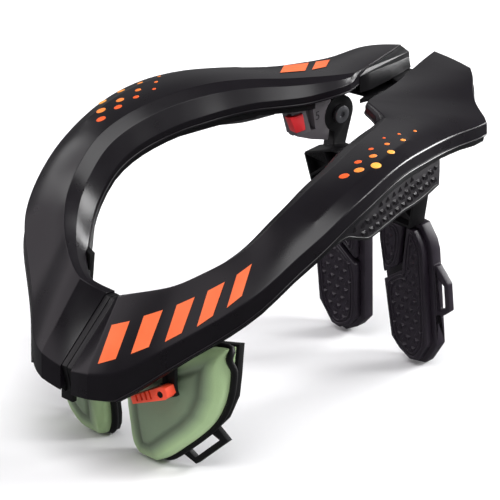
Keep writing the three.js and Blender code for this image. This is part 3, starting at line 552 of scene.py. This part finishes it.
def buildRims(side):
    shape = mergedCopy(f"{side}_shell", True)
    shape.normal_update()

    def lowEdge(edge):
        first, second = (face.normal for face in edge.link_faces)
        under, wall = (first, second) if first.z < second.z else (second, first)
        return (under.z < rimLooks["underFall"] and abs(wall.z) < rimLooks["wallTilt"]
                and edge.calc_face_angle(0) > math.radians(rimLooks["foldAngle"]))

    for number, line in enumerate(line for line in edgeLines(shape, lowEdge) if len(line) > rimLooks["fewest"]):
        bead = tubeAlong(f"{side}Rim{number}", line, rimLooks["radius"], shellPlastic, bodyOf(f"{side}_shell"))
        print("rim", side, number, len(line))
    shape.free()


for side in sides:
    buildRims(side)
print("shells made")

# Marks on the shells: rows of dots that fade, in ink that lies on the surface. Places are those of
# the photograph's frame, from the front of each row to its end.
dotLooks = {"radius": 2.7 * mm, "height": 0.35 * mm, "stretch": 1.3, "lift": 0.02 * mm, "sides": 24,
            "ahead": (3, -1)}
dotRows = {
    "left": [
        [(344, 176, 1), (359, 170, 1), (376, 165.5, 1.1)],
        [(358, 162, 0.75), (373, 156, 0.8), (391, 152, 0.85)],
        [(371, 149, 0.55), (387, 144, 0.6), (403, 140, 0.6)],
        [(384, 138, 0.35), (399, 134, 0.38), (415, 131, 0.4)],
    ],
    "right": [
        [(101, 119, 0.95), (101, 110.5, 0.95), (102.5, 102, 0.95)],
        [(118, 107, 0.8), (120, 100, 0.8), (121, 91, 0.8)],
        [(136, 97, 0.6), (138, 90, 0.6), (140, 83, 0.6)],
        [(154, 89, 0.38), (156, 82, 0.38), (159, 76.5, 0.38)],
    ],
}


def buildDots(side):
    tree = treeOf(shells[side])
    spots = []
    for row in dotRows[side]:
        for i, (across, down, share) in enumerate(row):
            at, normal = placeSeen(tree, across, down)
            ahead, _ = placeSeen(tree, across + dotLooks["ahead"][0], down + dotLooks["ahead"][1])
            spots.append({"at": at + normal * dotLooks["lift"], "normal": normal, "across": ahead - at,
                          "size": (share * dotLooks["stretch"], share, 1), "tone": i / (len(row) - 1) * share})
    piece = addStamps(f"{side}Dots", "dome", spots, dotInk, bodyOf(f"{side}_shell"),
                      dotLooks["radius"], dotLooks["height"], dotLooks["sides"])
    piece.data.polygons.foreach_set("use_smooth", [True] * len(piece.data.polygons))


# Plain slanting bars on the near arm and two short ones on the far arm, as thin ink
barLooks = {"steps": 24, "lift": 0.3 * mm, "widestCell": 9 * mm}
barRows = {
    "left": [
        [(112, 325), (130, 321), (116, 359), (98, 364)],
        [(144, 316), (163, 310), (149, 347), (131, 354)],
        [(177, 305), (195, 297), (182, 333), (165, 342)],
        [(208, 291), (225, 282), (213, 316), (197, 327)],
        [(237, 275), (252, 264), (242, 296), (227, 308)],
    ],
    "right": [
        [(284, 66), (309, 63), (305, 71), (280, 73)],
        [(316, 62), (330, 60), (326, 67), (312, 70)],
    ],
}


def buildBars(side):
    tree = treeOf(shells[side])
    shape = bmesh.new()
    steps = barLooks["steps"]
    for corners in barRows[side]:
        a, b, c, d = (Vector(corner) for corner in corners)
        grid = {}
        for row in range(steps + 1):
            for column in range(steps + 1):
                flat = a.lerp(b, column / steps).lerp(d.lerp(c, column / steps), row / steps)
                spot, normal = placeSeen(tree, *flat)
                grid[row, column] = spot + normal * barLooks["lift"] if spot else None
        made = {}
        for row in range(steps):
            for column in range(steps):
                keys = ((row, column), (row + 1, column), (row + 1, column + 1), (row, column + 1))
                cell = [grid[key] for key in keys]
                if not all(cell) or max((p - q).length for p in cell for q in cell) >= barLooks["widestCell"]:
                    continue
                for key, point in zip(keys, cell):
                    if key not in made:
                        made[key] = shape.verts.new(point)
                shape.faces.new([made[key] for key in keys])
    piece = addPiece(f"{side}Bars", shape, barInk, bodyOf(f"{side}_shell"))


for side in sides:
    buildDots(side)
    buildBars(side)
print("dots and bars made")

# Pads of the chest: moulded foam with a skin, a pressed border and a black binding round its edge
chestLooks = {"levels": 3, "crease": 0.45, "creaseAngle": 35, "border": 12, "borderWidth": 2.0,
              "borderDepth": 1.2 * mm, "borderShade": 0.75, "sink": 0.5, "sinkRun": 6, "frontFacing": 0.3,
              "edgeGain": 1.5, "rowStep": 0.2 * mm, "binding": 2.5 * mm, "bindingIn": -0.9 * mm,
              "bindingOut": 1.0 * mm, "fill": 0.8}


def padOutline(node):
    # the pad's edge from its rows: one line down the inner side and back up the outer side
    shape = mergedCopy(node, False)
    rows = {}
    for vert in shape.verts:
        rows.setdefault(round(vert.co.z / chestLooks["rowStep"]), []).append(vert.co.copy())
    shape.free()
    levels = [rows[key] for key in sorted(rows) if len(rows[key]) > 3]
    inner = [min(row, key=lambda p: (round(abs(p.x), 5), -p.y)) for row in levels]
    outer = [max(row, key=lambda p: (round(abs(p.x), 5), p.y)) for row in levels]
    return inner, outer


def distanceInside(point, loop):
    # distance in millimetres from the outline, seen from the front
    flat = Vector((point.x, point.z))
    best = math.inf
    for i, corner in enumerate(loop):
        other = loop[(i + 1) % len(loop)]
        run = other - corner
        share = max(0, min(1, (flat - corner).dot(run) / max(run.length_squared, 1e-12)))
        best = min(best, (flat - corner - run * share).length)
    return best / mm


def buildChestPad(side):
    node = f"{side}_chest_pad"
    shape = mergedCopy(node, True)
    crease = shape.edges.layers.float.new("crease_edge")
    for line in shape.edges:
        if len(line.link_faces) == 2 and line.calc_face_angle(0) > math.radians(chestLooks["creaseAngle"]):
            line[crease] = chestLooks["crease"]
    piece = addPiece(f"{side}ChestPad", shape, padSkin, bodyOf(node))
    smooth = piece.modifiers.new("smooth", "SUBSURF")
    smooth.levels = smooth.render_levels = chestLooks["levels"]
    applyModifiers(piece)

    # the front is pressed in along a border, and what lies inside the border is a little lower; the border also
    # carries painted shade
    inner, outer = padOutline(node)
    loop = [Vector((p.x, p.z)) for p in inner + outer[::-1]]
    mesh = piece.data
    for label in ("fromEdge", "pressed"):
        mesh.attributes.new(label, "FLOAT", "POINT")
    edge, pressed = mesh.attributes["fromEdge"], mesh.attributes["pressed"]
    normals = [vert.normal.copy() for vert in mesh.vertices]
    for vert in mesh.vertices:
        depth = distanceInside(vert.co, loop)
        front = max(0, -normals[vert.index].y)
        # small near the outline and on faces turned from the front: there the skin gets its lighter band with
        # painted highlight
        edge.data[vert.index].value = depth * min(1, front * chestLooks["edgeGain"])
        line = inside = 0
        if front > chestLooks["frontFacing"]:
            line = math.exp(-((depth - chestLooks["border"]) / chestLooks["borderWidth"]) ** 2)
            inside = max(0, min(1, (depth - chestLooks["border"]) / chestLooks["sinkRun"]))
        # painted shade along the pressed border
        pressed.data[vert.index].value = line * chestLooks["borderShade"]
        vert.co.y += (line + inside * chestLooks["sink"]) * chestLooks["borderDepth"]
    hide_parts(node)

    # the binding is a rolled edge that lies against the backing and stays above the floor
    inward = chestLooks["bindingIn"] * (1 if side == "left" else -1)
    lift = chestLooks["bindingOut"]
    rim = [p + Vector((inward, -lift, 0)) for p in inner]
    rim += [p + Vector((-inward, -lift, 0)) for p in outer[::-1]]
    rim = [Vector((p.x, p.y, max(p.z, chestLooks["binding"]))) for p in rim]
    binding = tubeAlong(f"{side}ChestBinding", rim, chestLooks["binding"], rimRubber, bodyOf(node), closed=True)


for side in sides:
    buildChestPad(side)
print("chest pads made")


# Relief of low triangles that covers a pad's face, found by rays that run into the face
reliefLooks = {"pitch": 8.2 * mm, "rowShare": 0.866, "turnedShift": 0.289, "radius": 4.3 * mm, "share": 0.62,
               "height": 1.5 * mm, "sunk": 0.08 * mm, "margin": 3.6 * mm, "marginReach": 1.7, "probes": 6,
               "facing": -0.35, "sameFace": 0.9, "standOff": 60 * mm}


def coverFace(tree, starts, heading):
    # places whose neighbours at the margin lie on the same face
    margin = reliefLooks["margin"]
    side = heading.orthogonal().normalized()
    rise = heading.cross(side)
    spots = []
    for start, flipped in starts:
        at, normal, _, _ = tree.ray_cast(start, heading)
        if at is None or normal.dot(heading) > reliefLooks["facing"]:
            continue
        near = []
        for step in range(reliefLooks["probes"]):
            turn = math.tau * step / reliefLooks["probes"]
            off = (side * math.cos(turn) + rise * math.sin(turn)) * margin
            near.append(tree.ray_cast(start + off, heading))
        if all(spot is not None and facing.dot(normal) > reliefLooks["sameFace"]
               and (spot - at).length < margin * reliefLooks["marginReach"] for spot, facing, _, _ in near):
            spots.append((at, normal, flipped))
    return spots


def addRelief(name, piece, body, low, high, heading, material):
    # a lattice of triangles, every second one turned over
    pitch = reliefLooks["pitch"]
    level = Vector((1, 0, 0)) if abs(heading.y) > 0.5 else Vector((0, 1, 0))
    starts = []
    rowHeight = pitch * reliefLooks["rowShare"]
    rows = int((high.z - low.z) / rowHeight) + 2
    columns = int(abs((high - low).dot(level)) / (pitch / 2)) + 2
    for row in range(rows):
        for column in range(columns):
            flipped = (row + column) % 2 == 1
            start = low + level * column * pitch / 2
            start.z = low.z + row * rowHeight + (pitch * reliefLooks["turnedShift"] if flipped else 0)
            starts.append((start - heading * reliefLooks["standOff"], flipped))
    spots = []
    for at, normal, flipped in coverFace(treeOf(piece), starts, heading):
        spots.append({"at": at - normal * reliefLooks["sunk"], "normal": normal, "across": -up if flipped else up,
                      "size": (reliefLooks["share"], reliefLooks["share"], 1)})
    relief = addStamps(name, "pyramid", spots, material, body, reliefLooks["radius"], reliefLooks["height"], 3)
    print(name, len(spots), "triangles")


# Shoulder pads: a padded piece with relief on its outer face and a beaded line above its lower edge
shoulderLooks = {"edge": 1.2 * mm, "segments": 3, "angle": 35, "fill": 0.9, "beadSteps": 40, "columns": 60,
                 "frontEnd": 6 * mm, "rearEnd": 4 * mm, "rise": 1.8 * mm, "bead": 0.7 * mm, "fewest": 6}


def lowestPoint(tree, low, high, y):
    # the lowest place of the pad at this distance from the front
    bottom = None
    for column in range(shoulderLooks["columns"]):
        x = low.x + (high.x - low.x) * column / (shoulderLooks["columns"] - 1)
        at, _, _, _ = tree.ray_cast(Vector((x, y, -0.1)), up)
        if at is not None and (bottom is None or at.z < bottom.z - 0.01 * mm):
            bottom = at
    return bottom


def buildShoulderPad(side):
    node = f"{side}_shoulder_pad"
    piece = roundedCopy(node, f"{side}ShoulderPad", shoulderRubber, shoulderLooks["edge"],
                        shoulderLooks["segments"], shoulderLooks["angle"])
    low, high = (Vector(corner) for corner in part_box(node))
    heading = Vector((-1 if side == "left" else 1, 0, 0))
    middle = (low.x + high.x) / 2
    addRelief(f"{side}ShoulderRelief", piece, bodyOf(node), Vector((middle, low.y, low.z)),
              Vector((middle, high.y, high.z)), heading, shoulderRubber)

    tree = treeOf(piece)
    line = []
    start, end = low.y + shoulderLooks["frontEnd"], high.y - shoulderLooks["rearEnd"]
    for step in range(shoulderLooks["beadSteps"] + 1):
        bottom = lowestPoint(tree, low, high, start + (end - start) * step / shoulderLooks["beadSteps"])
        if bottom is None:
            continue
        beside = bottom - heading * reliefLooks["standOff"] + up * shoulderLooks["rise"]
        at, _, _, _ = tree.ray_cast(beside, heading)
        if at is not None:
            line.append(at)
    if len(line) > shoulderLooks["fewest"]:
        bead = tubeAlong(f"{side}ShoulderPiping", line, shoulderLooks["bead"], rimRubber, bodyOf(node))


for side in sides:
    buildShoulderPad(side)
print("shoulder pads made")

# Wings: the frame and the two pads on its face, with raised lines along their edges
wingLooks = {"frameEdge": 1.6 * mm, "padEdge": 1.3 * mm, "segments": 3, "lines": (2.2 * mm, 4.6 * mm),
             "lineRadius": 0.75 * mm, "facing": -0.8, "sharpest": 0.4, "cornerCut": 0.2, "rounds": 2}


def faceOutline(node):
    # corners of the pad's front face, in order
    shape = mergedCopy(node, False)
    front = max(shape.faces, key=lambda f: f.calc_area() if f.normal.y < wingLooks["facing"] else 0)
    corners = [vert.co.copy() for vert in front.verts]
    normal = front.normal.copy()
    shape.free()
    return corners, normal


def insetLoop(corners, normal, distance):
    count = len(corners)
    result = []
    for i, corner in enumerate(corners):
        before = (corner - corners[i - 1]).normalized()
        after = (corners[(i + 1) % count] - corner).normalized()
        inward = (normal.cross(before) + normal.cross(after)).normalized()
        reach = distance / max(wingLooks["sharpest"], inward.dot(normal.cross(before)))
        result.append(corner + inward * reach)
    return result


def smoothLoop(points):
    # corner cutting keeps the straight runs and rounds the turns
    share = wingLooks["cornerCut"]
    for _ in range(wingLooks["rounds"]):
        cut = []
        for i, point in enumerate(points):
            other = points[(i + 1) % len(points)]
            cut += [point.lerp(other, share), point.lerp(other, 1 - share)]
        points = cut
    return points


def buildWing(side):
    frameCopy = roundedCopy(f"{side}_wing_frame", f"{side}WingFrame", padRubber, wingLooks["frameEdge"],
                            wingLooks["segments"])
    for part, name in (("wing_pad", "WingPad"), ("wing_upper_pad", "WingUpperPad")):
        node = f"{side}_{part}"
        pad = roundedCopy(node, side + name, padRubber, wingLooks["padEdge"], wingLooks["segments"])
        low, high = (Vector(corner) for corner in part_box(node))
        addRelief(side + name + "Relief", pad, bodyOf(node), low, high, Vector((0, 1, 0)), padRubber)
        corners, normal = faceOutline(node)
        for number, distance in enumerate(wingLooks["lines"]):
            line = smoothLoop(insetLoop(corners, normal, distance))
            ridge = tubeAlong(f"{side}{name}Line{number}", line, wingLooks["lineRadius"], padRubber, bodyOf(node),
                              closed=True, smooth=False)


for side in sides:
    buildWing(side)
print("wings made")

# Hard pieces: the CAD solids with edges rounded by so many millimetres, each in its own plastic or steel
hardLooks = {
    "chassis": (framePlastic, 0.8, "chassis"), "front_plate": (framePlastic, 0.5, "chassis"),
    "chest_backing": (rimRubber, 1.0, "binding"), "bracket": (greyPlastic, 0.45, "bracket"),
    "wedge": (redPlastic, 0.5, "red_plastic"), "screw": (steel, 0.35, "steel"),
    "wing_arm": (framePlastic, 0.5, "chassis"), "end_cap": (framePlastic, 0.8, "chassis"),
    "hinge_tongue": (framePlastic, 0.6, "chassis"), "hinge_pin": (steel, 0.4, "steel"),
    "latch_lever": (orangePlastic, 0.5, "orange_plastic"), "latch_mount": (framePlastic, 0.5, "chassis"),
}
for nodeName in sorted(frame["nodes"]):
    first, _, rest = nodeName.partition("_")
    key = rest if first in sides else nodeName
    if key in hardLooks:
        finish, width, slotName = hardLooks[key]
        words = nodeName.split("_")
        title = words[0] + "".join(word.capitalize() for word in words[1:])
        roundedCopy(nodeName, title, finish, width * mm)
print("hard pieces finished")

# Numbers on the adjusters: 1 and 5 at the ends of the scale, read from the middle of the brace. Each
# mark has its place along the adjuster and its height, in millimetres
numberLooks = {"height": 6.2 * mm, "fontShare": 1.4, "depth": 0.15 * mm,
               "marks": (("1", 66.5, 169.5), ("5", 82.5, 157.0))}


def buildNumbers(side):
    low, high = (Vector(corner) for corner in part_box(f"{side}_bracket"))
    plane, across = (low.x, Vector((0, -1, 0))) if side == "left" else (high.x, Vector((0, 1, 0)))
    turn = Matrix((across, up, across.cross(up))).transposed().to_4x4()
    joined = bmesh.new()
    for word, y, z in numberLooks["marks"]:
        curve = bpy.data.curves.new("number", "FONT")
        curve.body = word
        curve.size = numberLooks["height"] * numberLooks["fontShare"]
        curve.extrude = numberLooks["depth"] / 2
        curve.align_x = "CENTER"
        letter = bpy.data.objects.new("number", curve)
        scene.collection.objects.link(letter)
        bpy.context.view_layer.update()
        mesh = bpy.data.meshes.new_from_object(letter.evaluated_get(bpy.context.evaluated_depsgraph_get()))
        turn.translation = Vector((plane, y * mm, z * mm))
        mesh.transform(turn)
        joined.from_mesh(mesh)
        bpy.data.objects.remove(letter)
    piece = addPiece(f"{side}Numbers", joined, markInk, bodyOf(f"{side}_bracket"), smooth=False)


for side in sides:
    buildNumbers(side)
print("numbers made")

# A pale floor and soft light. Each light has its azimuth and elevation, in degrees
floorLooks = {"half": 12, "drop": 0.2 * mm, "colour": (0.86, 0.86, 0.87, 1), "rough": 0.8, "specular": 0.1}
worldLooks = {"colour": (0.9, 0.91, 0.93, 1), "strength": 0.14}


def buildFloor():
    shape = bmesh.new()
    bmesh.ops.create_grid(shape, x_segments=1, y_segments=1, size=floorLooks["half"])
    mesh = bpy.data.meshes.new("floor")
    shape.to_mesh(mesh)
    shape.free()
    floor = bpy.data.objects.new("floor", mesh)
    scene.collection.objects.link(floor)
    material, nodes, _ = nodeTree("floor")
    for socket, key in (("Base Color", "colour"), ("Roughness", "rough"), ("Specular IOR Level", "specular")):
        nodes["Principled BSDF"].inputs[socket].default_value = floorLooks[key]
    mesh.materials.append(material)
    floor.location.z = -floorLooks["drop"]
    floor.visible_glossy = False


lights = {
    "sky": {"kind": "SUN", "at": (40, 68), "distance": 3, "size": 0.8, "power": 2.5},
    "ridgeRear": {"kind": "AREA", "at": (172, 14), "distance": 2.0, "size": 0.75, "power": 46},
    "ridgeMiddle": {"kind": "AREA", "at": (138, 36), "distance": 2.0, "size": 0.6, "power": 26},
    "leftSoft": {"kind": "AREA", "at": (-45, 27), "distance": 2.2, "size": 2.4, "power": 21,
                 "tint": (1, 0.93, 0.98)},
    "leftBack": {"kind": "AREA", "at": (-85, 32), "distance": 2.0, "size": 0.5, "power": 3},
    "table": {"kind": "AREA", "at": (-128, 24), "distance": 2.4, "size": 1.5, "power": 2},
}


def buildLights():
    for name, look in lights.items():
        data = bpy.data.lights.new(name, look["kind"])
        data.energy = look["power"]
        data.color = look.get("tint", (1, 1, 1))
        if look["kind"] == "SUN":
            data.angle = look["size"]
        else:
            data.size = look["size"]
        lamp = bpy.data.objects.new(name, data)
        scene.collection.objects.link(lamp)
        back = direction(*look["at"])
        lamp.location = back * look["distance"]
        lamp.rotation_euler = back.to_track_quat("Z", "Y").to_euler()
    world = bpy.data.worlds.new("world")
    world.use_nodes = True
    background = world.node_tree.nodes["Background"]
    background.inputs["Color"].default_value = worldLooks["colour"]
    background.inputs["Strength"].default_value = worldLooks["strength"]
    scene.world = world
    scene.view_settings.view_transform = "Standard"


buildFloor()
buildLights()
print("camera, floor and light set")
